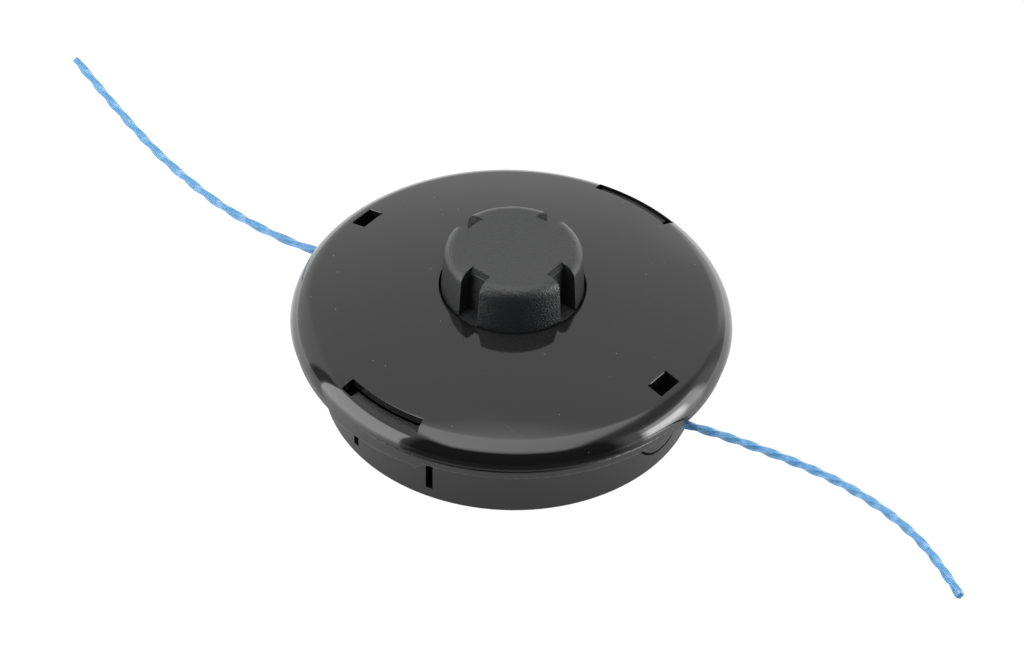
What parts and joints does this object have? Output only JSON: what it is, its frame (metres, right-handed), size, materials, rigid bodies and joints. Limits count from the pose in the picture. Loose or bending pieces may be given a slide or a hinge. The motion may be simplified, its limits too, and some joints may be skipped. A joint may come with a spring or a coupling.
{
  "type": "trimmer head",
  "caption": "Round bump-feed trimmer head: a cup housing with a domed cover held by two catches, a sprung bump knob on a line spool, and two line exits.",
  "frame": {"origin": "centre of the housing's mounting face, on the spin axis", "axes": "+Z along the spin axis towards the bump knob, the line exits and the small windows on +X and -X, the catch slots on +Y and -Y"},
  "size_m": [0.3501, 0.1298, 0.0528],
  "materials": {
    "housing_nylon": "satin moulded black nylon",
    "cover_nylon": "glossy black nylon with fine scratches and dust",
    "knob_nylon": "fine spark-grained black nylon",
    "spool_nylon": "plain moulded black nylon",
    "line_nylon": "translucent light blue twisted nylon",
    "eyelet_steel": "bright plated steel",
    "steel": "zinc plated steel"
  },
  "bodies": {
    "casing": {"housing": "housing_nylon", "cover": "cover_nylon", "line_exit_a": "housing_nylon", "line_exit_b": "housing_nylon", "eyelet_a": "eyelet_steel", "eyelet_b": "eyelet_steel", "free_line_a": "line_nylon", "free_line_b": "line_nylon", "arbor_nut": "steel", "nut_retainer": "steel"},
    "spring_and_washer": {"return_spring": "steel", "thrust_washer": "steel"},
    "spool_and_knob": {"spool": "spool_nylon", "bump_knob": "knob_nylon", "line_winding_lower": "line_nylon", "line_winding_upper": "line_nylon"}
  },
  "joints": [
    {"name": "spool_turn", "type": "hinge", "parent": "casing", "child": "spring_and_washer", "pos_m": [0, 0, 0], "axis": [0, 0, 1], "continuous": true},
    {"name": "knob_tap", "type": "slide", "parent": "spring_and_washer", "child": "spool_and_knob", "axis": [0, 0, 1], "range_m": [-0.005, 0], "stiffness_N_per_m": 1500, "springref_m": 0.008, "deforming": ["return_spring"]}
  ]
}
